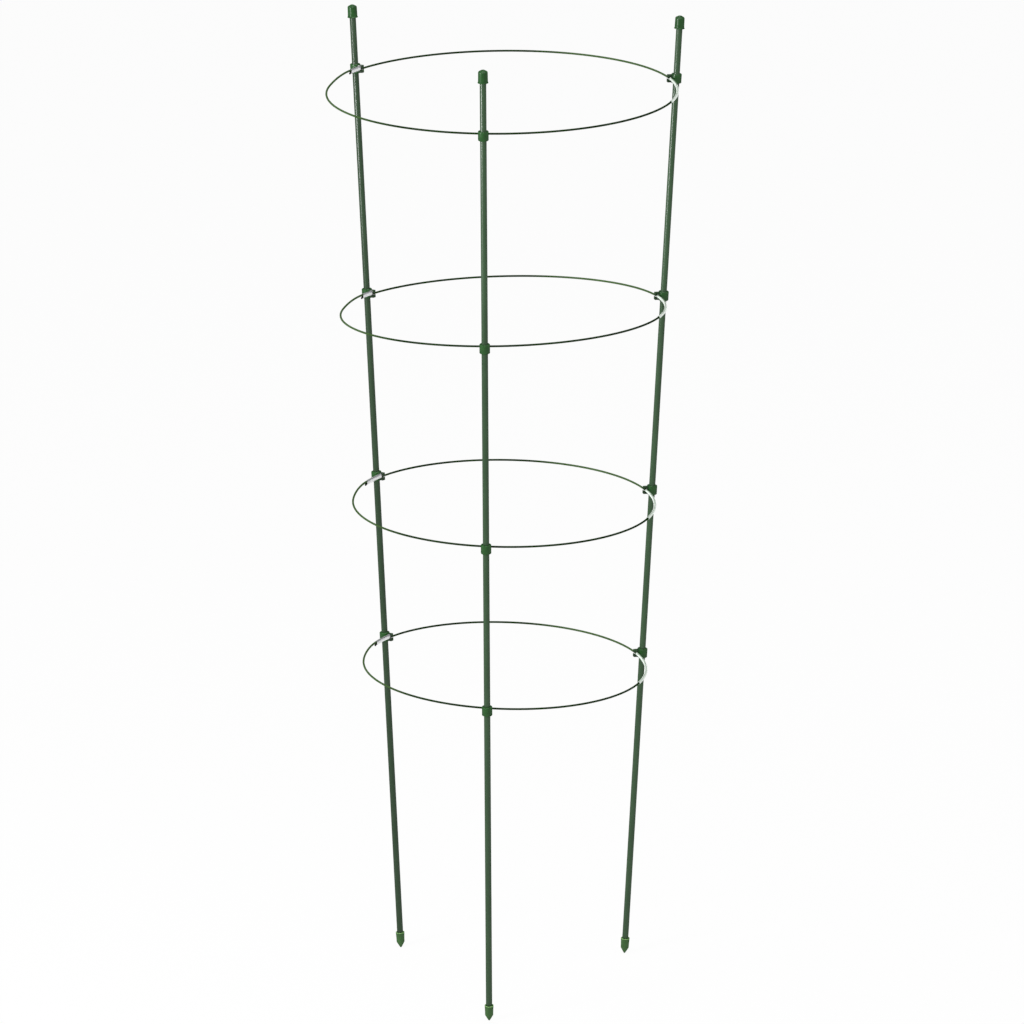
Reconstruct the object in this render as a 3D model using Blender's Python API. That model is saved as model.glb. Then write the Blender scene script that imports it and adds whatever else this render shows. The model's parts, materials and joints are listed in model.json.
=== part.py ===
"""Ring plant support: three leaning coated stakes that carry four wire rings in snap-in clips.

Metres, +Z up. The front stake stands at -Y and the other two behind it, nearly a third of a turn
apart. The stakes lean outwards and the right one also a little sideways, as in a support that was
put together by hand.
Each stake is a steel tube in a plastic coat, with a domed cap on top and a pointed tip below.
Each ring lies inside the stakes, held by one clip on every stake. A clip's collar slides on its
stake, and the jaw of its lug holds the ring's wire. The two ends of the wire lie one above the
other in a clear sleeve beside the left clip. A second clear sleeve covers the ring's right side.
"""

import math

import bmesh
import bpy
from mathutils import Matrix, Vector

# Fits and clearances
FIT_GAP = 0.0003
STAKE_END_GAP = 0.0003
WIRE_CLEARANCE = 0.0005
WIRE_PLAY = 0.0006
SIDE_PLAY = 0.0006
SLEEVE_CLEARANCE = 0.00025

# Stakes, measured along their own length
STAKE_LENGTH = 1.2
FOOT_RADIUS = 0.1611
TOP_RADIUS = 0.2213
CORE_RADIUS = 0.0032
CORE_WALL = 0.0005
COAT_WALL = 0.0003
FOOT_ANGLES = {"front": 267.8, "right": 30.1, "left": 151.3}
TOP_ANGLES = {"front": 270.0, "right": 21.25, "left": 150.15}

# Caps
CAP_HEIGHT = 0.0157
CAP_WALL = 0.0017
CAP_ROOF = 0.0022
CAP_LIP = 0.0005
CAP_LIP_HEIGHT = 0.0008
CAP_DRAFT = 0.0002
CAP_SHOULDER = 0.0020
CAP_CROWN_RADIUS = 0.0033
CAP_CROWN_HEIGHT = 0.0014
CAP_SHOULDER_TURN = 80.0
CAP_CROWN_TURN = 50.0

# Tips
TIP_POINT_RADIUS = 0.0009
TIP_CONE_HEIGHT = 0.0074
TIP_FLOOR = 0.0018
TIP_SOCKET_DEPTH = 0.0108
TIP_WALL = 0.0009
TIP_FLARE = 0.0005
TIP_FLARE_DEPTH = 0.0100

# Rings, from the top one down: the height of the wire at each clip, as a share of a stake's length
RING_LEVELS = (
    {"left": 0.9340, "front": 0.9331, "right": 0.9349},
    {"left": 0.7018, "front": 0.7170, "right": 0.7099},
    {"left": 0.5099, "front": 0.5089, "right": 0.5052},
    {"left": 0.3386, "front": 0.3373, "right": 0.3302},
)
WIRE_RADIUS = 0.0012
STRAND_GAP = 0.0003
RISE_LENGTH = 0.065
RISE_LEAD = 0.004
TIP_SHOWING = 0.0022
TIP_DROP = 0.0009
END_RECESS = 0.0012

# Clips
CLIP_HEIGHT = 0.0112
CLIP_WALL = 0.0021
CLIP_CHAMFER = 0.0005
LUG_HEIGHT = 0.0092
LUG_WIDTH = 0.0046
LUG_EDGE = 0.0003
JAW_LIP = 0.0007
JAW_SLIT = 0.0012

# Clear sleeves; the end sleeves' lengths are from the top ring down
END_SLEEVE_LENGTHS = (0.020, 0.020, 0.036, 0.033)
END_SLEEVE_WALL = 0.0002
RING_SLEEVE_LENGTH = 0.120
RING_SLEEVE_WALL = 0.0002

# Facets of the round shapes
STAKE_SIDES = 14
CAP_SIDES = 14
CLIP_SIDES = 16
WIRE_SIDES = 6
SLEEVE_SIDES = 8
ARC_STEPS = 4
JAW_STEPS = 6
RING_STEP = math.radians(4.0)
SMOOTH_ANGLE = math.radians(40.0)

# Sizes that follow from those above
STAKE_RADIUS = CORE_RADIUS + FIT_GAP + COAT_WALL
SOCKET_RADIUS = STAKE_RADIUS + FIT_GAP
TIP_FLOOR_HEIGHT = TIP_CONE_HEIGHT + TIP_FLOOR
TIP_HEIGHT = TIP_FLOOR_HEIGHT + TIP_SOCKET_DEPTH
CLIP_RADIUS = SOCKET_RADIUS + CLIP_WALL
JAW_RADIUS = WIRE_RADIUS + WIRE_CLEARANCE
WIRE_OFFSET = CLIP_RADIUS + WIRE_PLAY + JAW_RADIUS
LUG_REACH = WIRE_OFFSET + WIRE_PLAY + JAW_RADIUS + JAW_LIP
STRAND_PITCH = 2.0 * WIRE_RADIUS + STRAND_GAP
END_SLEEVE_START = LUG_WIDTH / 2.0 + FIT_GAP
RING_SLEEVE_START = END_SLEEVE_START + SIDE_PLAY

GREEN_COAT = ("green_stake_coat", (0.055, 0.125, 0.060), 0.38, 0.0)
GREEN_MOULDED = ("green_moulded_plastic", (0.028, 0.115, 0.030), 0.28, 0.0)
GREEN_WIRE = ("green_wire_coat", (0.045, 0.095, 0.040), 0.30, 0.0)
BARE_STEEL = ("steel_tube", (0.52, 0.53, 0.54), 0.35, 1.0)
CLEAR_SLEEVE = ("clear_sleeve", (0.80, 0.86, 0.82), 0.12, 0.0)


def clear_scene():
    """Remove whatever the file holds at the start."""
    for thing in list(bpy.data.objects):
        bpy.data.objects.remove(thing, do_unlink=True)


def make_material(name, colour, roughness, metallic):
    """A plain Principled material with one colour."""
    material = bpy.data.materials.new(name)
    material.use_nodes = True
    shader = material.node_tree.nodes["Principled BSDF"]
    shader.inputs["Base Color"].default_value = (*colour, 1.0)
    shader.inputs["Roughness"].default_value = roughness
    shader.inputs["Metallic"].default_value = metallic
    return material


def make_mesh(name, bm):
    """Turn an edit mesh into a mesh, with its faces outwards and its round sides smooth."""
    bmesh.ops.recalc_face_normals(bm, faces=bm.faces)
    mesh = bpy.data.meshes.new(name)
    bm.to_mesh(mesh)
    bm.free()
    mesh.shade_smooth()
    mesh.set_sharp_from_angle(angle=SMOOTH_ANGLE)
    return mesh


def add_object(name, mesh, material, parent, place=None):
    """Add a mesh under a parent, at a place in the parent's frame."""
    thing = bpy.data.objects.new(name, mesh)
    bpy.context.scene.collection.objects.link(thing)
    if not mesh.materials:
        mesh.materials.append(material)
    thing.parent = parent
    thing.matrix_local = place if place is not None else Matrix.Identity(4)
    return thing


def add_empty(name, parent, place):
    """Add an empty, the frame that other objects are placed in."""
    empty = bpy.data.objects.new(name, None)
    empty.empty_display_size = 0.02
    bpy.context.scene.collection.objects.link(empty)
    empty.parent = parent
    empty.matrix_local = place
    return empty


def arc_points(centre, radius, start, stop, steps):
    """Points on an arc in a profile's plane, from one angle in degrees to another."""
    points = []
    for step in range(steps + 1):
        angle = math.radians(start + (stop - start) * step / steps)
        points.append((centre[0] + radius * math.cos(angle), centre[1] + radius * math.sin(angle)))
    return points


def turned_mesh(name, profile, sides, closed):
    """Turn a profile of (radius, height) points about Z; an open one starts and ends on the axis."""
    bm = bmesh.new()
    rows = []
    for radius, height in profile:
        if radius == 0.0:
            rows.append([bm.verts.new((0.0, 0.0, height))])
            continue
        row = []
        for side in range(sides):
            turn = 2.0 * math.pi * side / sides
            row.append(bm.verts.new((radius * math.cos(turn), radius * math.sin(turn), height)))
        rows.append(row)
    pairs = list(zip(rows, rows[1:]))
    if closed:
        pairs.append((rows[-1], rows[0]))
    for lower, upper in pairs:
        for side in range(sides):
            after = (side + 1) % sides
            corners = [lower[side % len(lower)], lower[after % len(lower)]]
            corners += [upper[after % len(upper)], upper[side % len(upper)]]
            bm.faces.new(list(dict.fromkeys(corners)))
    return make_mesh(name, bm)


def swept_mesh(name, frames, outer, inner=None):
    """Sweep an outline along a row of frames; an inner outline makes it a tube open at both ends."""
    bm = bmesh.new()

    def rows_of(outline):
        return [[bm.verts.new(frame @ Vector((0.0, x, z))) for x, z in outline] for frame in frames]

    def skin(rows):
        count = len(rows[0])
        for row, following in zip(rows, rows[1:]):
            for side in range(count):
                after = (side + 1) % count
                bm.faces.new((row[side], row[after], following[after], following[side]))

    outer_rows = rows_of(outer)
    skin(outer_rows)
    if inner is None:
        bm.faces.new(outer_rows[0])
        bm.faces.new(outer_rows[-1])
        return make_mesh(name, bm)
    inner_rows = rows_of(inner)
    skin(inner_rows)
    for end in (0, -1):
        skin([outer_rows[end], inner_rows[end]])
    return make_mesh(name, bm)


def round_outline(radius, sides):
    """A regular outline round the origin, with a flat at the top and the bottom."""
    angles = [2.0 * math.pi * (side + 0.5) / sides for side in range(sides)]
    return [(radius * math.cos(angle), radius * math.sin(angle)) for angle in angles]


def upright_oval(radius, half_height, steps):
    """An outline of two half circles, one above the other, joined by straight sides."""
    return arc_points((0.0, half_height), radius, 0.0, 180.0, steps) + arc_points(
        (0.0, -half_height), radius, 180.0, 360.0, steps)


def smooth_step(value):
    """Ease from 0 to 1 as the value goes from 0 to 1."""
    value = min(max(value, 0.0), 1.0)
    return value * value * (3.0 - 2.0 * value)


def core_mesh(bottom, top):
    """The steel tube inside a stake."""
    inner = CORE_RADIUS - CORE_WALL
    profile = [(CORE_RADIUS, bottom), (CORE_RADIUS, top), (inner, top), (inner, bottom)]
    return turned_mesh("stake_core", profile, STAKE_SIDES, closed=True)


def coat_mesh(bottom, top):
    """The plastic coat round a stake's tube."""
    inner = CORE_RADIUS + FIT_GAP
    profile = [(STAKE_RADIUS, bottom), (STAKE_RADIUS, top), (inner, top), (inner, bottom)]
    return turned_mesh("stake_coat", profile, STAKE_SIDES, closed=True)


def cap_mesh():
    """A domed cup that sits over a stake's upper end, with a thin lip round its mouth."""
    body = SOCKET_RADIUS + CAP_WALL
    shoulder_base = CAP_HEIGHT - CAP_CROWN_HEIGHT - CAP_SHOULDER
    shoulder = body - CAP_DRAFT - CAP_SHOULDER
    crown_base = CAP_HEIGHT - CAP_CROWN_HEIGHT
    profile = [(SOCKET_RADIUS, 0.0), (body + CAP_LIP, 0.0), (body + CAP_LIP, CAP_LIP_HEIGHT)]
    profile += [(body, CAP_LIP_HEIGHT + CAP_LIP)]
    profile += arc_points((shoulder, shoulder_base), CAP_SHOULDER, 0.0, CAP_SHOULDER_TURN, ARC_STEPS - 1)
    profile += [(CAP_CROWN_RADIUS * math.cos(rise), crown_base + CAP_CROWN_HEIGHT * math.sin(rise))
                for rise in (0.0, math.radians(CAP_CROWN_TURN))]
    profile += [(0.0, CAP_HEIGHT)]
    profile.reverse()
    profile += [(SOCKET_RADIUS, CAP_HEIGHT - CAP_ROOF), (0.0, CAP_HEIGHT - CAP_ROOF)]
    return turned_mesh("stake_cap", profile, CAP_SIDES, closed=False)


def tip_mesh():
    """A pointed foot whose flared socket holds a stake's lower end."""
    shoulder = SOCKET_RADIUS + TIP_WALL
    rim = SOCKET_RADIUS + TIP_FLARE
    profile = [(0.0, 0.0), (TIP_POINT_RADIUS, 0.0), (shoulder, TIP_CONE_HEIGHT)]
    profile += [(shoulder, TIP_HEIGHT - TIP_FLARE_DEPTH), (rim + TIP_WALL, TIP_HEIGHT), (rim, TIP_HEIGHT)]
    profile += [(SOCKET_RADIUS, TIP_HEIGHT - TIP_FLARE_DEPTH), (SOCKET_RADIUS, TIP_FLOOR_HEIGHT)]
    profile += [(0.0, TIP_FLOOR_HEIGHT)]
    return turned_mesh("stake_tip", profile, CAP_SIDES, closed=False)


def collar_mesh():
    """The clip's collar round the stake, chamfered at both ends."""
    half = CLIP_HEIGHT / 2.0
    end_radius = CLIP_RADIUS - CLIP_CHAMFER
    profile = [(SOCKET_RADIUS, -half), (end_radius, -half), (CLIP_RADIUS, CLIP_CHAMFER - half)]
    profile += [(CLIP_RADIUS, half - CLIP_CHAMFER), (end_radius, half), (SOCKET_RADIUS, half)]
    return turned_mesh("clip_collar", profile, CLIP_SIDES, closed=True)


def prism_mesh(name, outline, width):
    """An outline in the XZ plane, extruded to a width across Y."""
    turn = Matrix.Rotation(math.radians(90.0), 4, "Z")
    frames = [Matrix.Translation((0.0, end, 0.0)) @ turn for end in (-width / 2.0, width / 2.0)]
    return swept_mesh(name, frames, [(-x, z) for x, z in outline])


def lug_mesh():
    """The block on the collar's inner side, with its free corners cut off."""
    root = -(SOCKET_RADIUS + CLIP_WALL / 2.0)
    half = LUG_HEIGHT / 2.0
    outline = [(root, -half), (root, half), (LUG_EDGE - LUG_REACH, half), (-LUG_REACH, half - LUG_EDGE)]
    outline += [(-LUG_REACH, LUG_EDGE - half), (LUG_EDGE - LUG_REACH, -half)]
    return prism_mesh("clip_lug", outline, LUG_WIDTH)


def jaw_mesh():
    """What the jaw leaves open: an oblong hole for the wire and the slit that it snaps in through."""
    near, far = (WIRE_PLAY - WIRE_OFFSET, 0.0), (-WIRE_PLAY - WIRE_OFFSET, 0.0)
    slit_angle = math.degrees(math.asin(JAW_SLIT / 2.0 / JAW_RADIUS))
    free_end = -LUG_REACH - LUG_EDGE
    outline = arc_points(near, JAW_RADIUS, 90.0, -90.0, JAW_STEPS)
    outline += arc_points(far, JAW_RADIUS, -90.0, slit_angle - 180.0, JAW_STEPS // 2)
    outline += [(free_end, -JAW_SLIT / 2.0), (free_end, JAW_SLIT / 2.0)]
    outline += arc_points(far, JAW_RADIUS, 180.0 - slit_angle, 90.0, JAW_STEPS // 2)
    return prism_mesh("clip_jaw", outline, 2.0 * LUG_WIDTH)


def clip_mesh():
    """One clip: the collar and its lug joined, less the jaw."""
    collar = add_object("clip_form", collar_mesh(), MATERIALS["moulded"], None)
    helpers = []
    for mesh, operation in ((lug_mesh(), "UNION"), (jaw_mesh(), "DIFFERENCE")):
        helper = add_object(mesh.name, mesh, MATERIALS["moulded"], None)
        cut = collar.modifiers.new(operation.lower(), "BOOLEAN")
        cut.operation = operation
        cut.solver = "EXACT"
        cut.object = helper
        helpers.append(helper)
    shape = collar.evaluated_get(bpy.context.evaluated_depsgraph_get())
    mesh = bpy.data.meshes.new_from_object(shape)
    mesh.name = "clip"
    mesh.shade_smooth()
    mesh.set_sharp_from_angle(angle=SMOOTH_ANGLE)
    for helper in [collar, *helpers]:
        bpy.data.objects.remove(helper, do_unlink=True)
    return mesh


class RingFrame:
    """The circle through the wire's three clip points, as a frame and angles in it.

    Angle 0 is at the left clip, and angles grow from there towards the left of the front stake.
    The end sleeve lies from sleeve_start to the angle mouth, where the wire's lower end comes out.
    """

    def __init__(self, points, end_sleeve_length):
        left, front, right = points["left"], points["front"], points["right"]
        to_front = front - left
        to_right = right - left
        normal = to_front.cross(to_right).normalized()
        across = to_front.cross(to_right)
        centre = left + (across.cross(to_front) * to_right.length_squared
                         + to_right.cross(across) * to_front.length_squared) / (2.0 * across.length_squared)
        out = (left - centre).normalized()
        self.radius = (left - centre).length
        self.matrix = Matrix((out, normal.cross(out), normal)).transposed().to_4x4()
        self.matrix.translation = centre
        seen = self.matrix.inverted() @ right
        self.right_angle = math.atan2(seen.y, seen.x)
        self.sleeve_start = self.angle_of(END_SLEEVE_START)
        self.mouth = self.sleeve_start + self.angle_of(end_sleeve_length)

    def angle_of(self, length):
        """The angle that a length of the wire takes up."""
        return length / self.radius

    def point(self, angle, lift=0.0):
        """A point on the circle, in the ring's own frame, lifted along its axis."""
        return Vector((self.radius * math.cos(angle), self.radius * math.sin(angle), lift))

    def frames(self, angles, lifts):
        """Frames along the wire, X along it, Y outwards and Z up."""
        points = [self.point(angle, lift) for angle, lift in zip(angles, lifts)]
        frames = []
        for index, point in enumerate(points):
            before = points[max(index - 1, 0)]
            after = points[min(index + 1, len(points) - 1)]
            along = (after - before).normalized()
            outward = Vector((point.x, point.y, 0.0)).normalized()
            up = along.cross(outward).normalized()
            frame = Matrix((along, up.cross(along), up)).transposed().to_4x4()
            frame.translation = point
            frames.append(frame)
        return frames


def steps_between(start, stop):
    """Angles from start to stop, evenly spaced and no further apart than a ring's step."""
    count = max(math.ceil(abs(stop - start) / RING_STEP), 2)
    return [start + (stop - start) * step / count for step in range(count + 1)]


def wire_mesh(circle, name):
    """The ring's wire: once round, with its two ends one above the other beside the left clip."""
    mouth = circle.mouth
    tip = mouth + circle.angle_of(TIP_SHOWING)
    upper_end = circle.sleeve_start + circle.angle_of(END_RECESS) - 2.0 * math.pi
    rise_end = mouth + circle.angle_of(RISE_LEAD) - 2.0 * math.pi
    rise_start = rise_end + circle.angle_of(RISE_LENGTH)
    angles = [tip, (tip + mouth) / 2.0]
    angles += steps_between(mouth, 0.0)
    angles += steps_between(0.0, rise_start)[1:]
    angles += steps_between(rise_start, rise_end)[1:]
    angles += steps_between(rise_end, upper_end)[1:]
    lifts = []
    for angle in angles:
        rise = smooth_step((rise_start - angle) / (rise_start - rise_end))
        drop = smooth_step((angle - mouth) / (tip - mouth))
        lifts.append(STRAND_PITCH * rise - TIP_DROP * drop)
    return swept_mesh(name, circle.frames(angles, lifts), round_outline(WIRE_RADIUS, WIRE_SIDES))


def end_sleeve_mesh(circle, name):
    """The clear sleeve over the two ends of the wire, an upright oval in section."""
    angles = steps_between(circle.sleeve_start, circle.mouth)
    lifts = [STRAND_PITCH / 2.0] * len(angles)
    bore = WIRE_RADIUS + SLEEVE_CLEARANCE
    outer = upright_oval(bore + END_SLEEVE_WALL, STRAND_PITCH / 2.0, ARC_STEPS)
    inner = upright_oval(bore, STRAND_PITCH / 2.0, ARC_STEPS)
    return swept_mesh(name, circle.frames(angles, lifts), outer, inner)


def ring_sleeve_mesh(circle, name):
    """The clear sleeve round the wire, from the right clip towards the front stake."""
    start = circle.right_angle - circle.angle_of(RING_SLEEVE_START)
    angles = steps_between(start, start - circle.angle_of(RING_SLEEVE_LENGTH))
    lifts = [0.0] * len(angles)
    bore = WIRE_RADIUS + SLEEVE_CLEARANCE
    outer = round_outline(bore + RING_SLEEVE_WALL, SLEEVE_SIDES)
    inner = round_outline(bore, SLEEVE_SIDES)
    return swept_mesh(name, circle.frames(angles, lifts), outer, inner)


def on_circle(radius, angle):
    """A point on a level circle round the support's axis, at an angle in degrees."""
    return Matrix.Rotation(math.radians(angle), 3, "Z") @ Vector((radius, 0.0, 0.0))


def leaning_frame(origin, up, outward):
    """A frame with Z along up and X as near as it can be to outward."""
    out = (outward - outward.dot(up) * up).normalized()
    frame = Matrix((out, up.cross(out), up)).transposed().to_4x4()
    frame.translation = origin
    return frame


def stake_frame(side):
    """A stake's frame: origin at its point, Z up along it and X away from the support's axis."""
    foot = on_circle(FOOT_RADIUS, FOOT_ANGLES[side])
    run = on_circle(TOP_RADIUS, TOP_ANGLES[side]) - foot
    rise = math.sqrt(STAKE_LENGTH ** 2 - run.length_squared)
    return leaning_frame(foot, (run + Vector((0.0, 0.0, rise))) / STAKE_LENGTH, foot)


def clip_frame(side, level):
    """A clip's frame on its stake, X away from the axis, for a wire at this share of the length."""
    foot, up = stake_frame(side).translation, stake_frame(side).col[2].xyz
    height = level * STAKE_LENGTH
    beside = foot + height * up
    frame = leaning_frame(foot, up, Vector((beside.x, beside.y, 0.0)))
    frame.translation = foot + up * (height + WIRE_OFFSET * frame.col[0].z) / up.z
    return frame


def build_stakes(axis):
    """The three stakes with their caps and tips; returns each stake's frame by its side."""
    bottom = TIP_FLOOR_HEIGHT + STAKE_END_GAP
    cap_base = STAKE_LENGTH - CAP_HEIGHT
    top = STAKE_LENGTH - CAP_ROOF - STAKE_END_GAP
    pieces = (
        ("stake_core", core_mesh(bottom, top), MATERIALS["steel"], 0.0),
        ("stake_coat", coat_mesh(bottom, top), MATERIALS["coat"], 0.0),
        ("stake_cap", cap_mesh(), MATERIALS["moulded"], cap_base),
        ("stake_tip", tip_mesh(), MATERIALS["moulded"], 0.0),
    )
    frames = {}
    for side in FOOT_ANGLES:
        frames[side] = add_empty(f"stake_axis_{side}", axis, stake_frame(side))
        for name, mesh, material, height in pieces:
            place = Matrix.Translation((0.0, 0.0, height))
            add_object(f"{name}_{side}", mesh, material, frames[side], place)
    return frames


def build_ring(number, levels, end_sleeve_length, axis, stakes, clip):
    """One ring with its sleeves, and its clip on each stake."""
    wire_points = {}
    for side, level in levels.items():
        frame = clip_frame(side, level)
        add_object(f"clip_{side}_{number}", clip, None, stakes[side], stake_frame(side).inverted() @ frame)
        wire_points[side] = frame @ Vector((-WIRE_OFFSET, 0.0, 0.0))
    circle = RingFrame(wire_points, end_sleeve_length)
    frame = add_empty(f"ring_axis_{number}", axis, circle.matrix)
    pieces = (
        (f"ring_{number}", wire_mesh, MATERIALS["wire"]),
        (f"end_sleeve_{number}", end_sleeve_mesh, MATERIALS["sleeve"]),
        (f"ring_sleeve_{number}", ring_sleeve_mesh, MATERIALS["sleeve"]),
    )
    for name, shape, material in pieces:
        add_object(name, shape(circle, name), material, frame)


def centre_on_origin(axis):
    """Shift the whole support so that the middle of its box, at the bottom, is the origin."""
    bpy.context.view_layer.update()
    corners = []
    for thing in bpy.data.objects:
        if thing.type == "MESH":
            corners += [thing.matrix_world @ vertex.co for vertex in thing.data.vertices]
    low = [min(corner[axis_number] for corner in corners) for axis_number in range(3)]
    high = [max(corner[axis_number] for corner in corners) for axis_number in range(3)]
    axis.location = (-(low[0] + high[0]) / 2.0, -(low[1] + high[1]) / 2.0, -low[2])
    bpy.context.view_layer.update()


def main():
    """Build the whole support."""
    axis = add_empty("support_axis", None, Matrix.Identity(4))
    stakes = build_stakes(axis)
    clip = clip_mesh()
    for number, (levels, sleeve) in enumerate(zip(RING_LEVELS, END_SLEEVE_LENGTHS), start=1):
        build_ring(number, levels, sleeve, axis, stakes, clip)
    centre_on_origin(axis)


clear_scene()
MATERIALS = {
    "coat": make_material(*GREEN_COAT),
    "moulded": make_material(*GREEN_MOULDED),
    "wire": make_material(*GREEN_WIRE),
    "steel": make_material(*BARE_STEEL),
    "sleeve": make_material(*CLEAR_SLEEVE),
}
main()
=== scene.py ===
"""Ring plant support: the looks of its stakes, caps, tips, clips, wire rings and clear sleeves.

Metres, +Z up, in the part's frame. Every piece is modelled in its own frame, keeps its place there
as the attribute own_place for its finish, and is then moved to where the part has it.
"""

import json
import logging
import math
from collections.abc import Callable, Iterator
from contextlib import contextmanager
from dataclasses import dataclass
from enum import Enum
from itertools import pairwise

import bmesh
import bpy
from bpy.types import Material, NodeSocket
from bpy.types import Object as Piece
from mathutils import Matrix, Vector


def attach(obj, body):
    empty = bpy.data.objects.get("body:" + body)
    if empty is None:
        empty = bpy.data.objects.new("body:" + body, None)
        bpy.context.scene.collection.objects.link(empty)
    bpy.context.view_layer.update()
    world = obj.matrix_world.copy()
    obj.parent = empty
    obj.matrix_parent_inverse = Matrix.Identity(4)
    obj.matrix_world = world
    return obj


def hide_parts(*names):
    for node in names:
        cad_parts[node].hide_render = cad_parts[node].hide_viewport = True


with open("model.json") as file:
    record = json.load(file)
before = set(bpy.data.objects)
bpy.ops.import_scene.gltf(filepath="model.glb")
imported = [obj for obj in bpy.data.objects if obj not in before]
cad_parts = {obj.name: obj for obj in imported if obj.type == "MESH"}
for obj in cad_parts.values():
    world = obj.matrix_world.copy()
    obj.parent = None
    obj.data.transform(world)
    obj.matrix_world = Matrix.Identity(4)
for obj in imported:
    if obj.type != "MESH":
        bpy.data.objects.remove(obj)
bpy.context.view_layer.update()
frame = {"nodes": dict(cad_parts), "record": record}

Pair = tuple[float, float]
Triple = tuple[float, float, float]
MeshPart = bmesh.types.BMVert | bmesh.types.BMEdge | bmesh.types.BMFace

LOG = logging.getLogger("ring_plant_support")
OWN_PLACE = "own_place"
SMOOTH_ANGLE = 35.0
# Further out than any piece of moulded plastic reaches.
NOWHERE = 1.0


class Side(Enum):
    """The three stakes, by where they stand."""

    FRONT = "front"
    RIGHT = "right"
    LEFT = "left"


class Element(Enum):
    """The kinds of mesh element that edit mode selects."""

    VERTEX = "VERT"
    EDGE = "EDGE"
    FACE = "FACE"


class Value:
    """The output of a node, which sums are written with where it is a number."""

    def __init__(self, paint: "Paint", source: NodeSocket) -> None:
        """Keep the output and the paint that it belongs to."""
        self.paint = paint
        self.source = source

    def _sum(self, operation: str, *terms: "Value | float") -> "Value":
        """Add a Math node that does an operation on its terms, in their order."""
        return self.paint.node("ShaderNodeMath", dict(enumerate(terms)), operation=operation)

    def __add__(self, other: "Value | float") -> "Value":
        """Sum."""
        return self._sum("ADD", self, other)

    __radd__ = __add__

    def __sub__(self, other: "Value | float") -> "Value":
        """Difference."""
        return self._sum("SUBTRACT", self, other)

    def __rsub__(self, other: float) -> "Value":
        """Difference, from a number."""
        return self._sum("SUBTRACT", other, self)

    def __mul__(self, other: "Value | float") -> "Value":
        """Product."""
        return self._sum("MULTIPLY", self, other)

    __rmul__ = __mul__

    def size(self) -> "Value":
        """The value without its sign."""
        return self._sum("ABSOLUTE", self)

    def clamped(self) -> "Value":
        """The value held between 0 and 1."""
        return self._sum("MINIMUM", self._sum("MAXIMUM", self, 0.0), 1.0)

    def eased(self, low: float, high: float) -> "Value":
        """Ease from 0 to 1 as the value goes from low to high."""
        values = {"Value": self, "From Min": low, "From Max": high}
        return self.paint.node("ShaderNodeMapRange", values, interpolation_type="SMOOTHSTEP")


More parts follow.
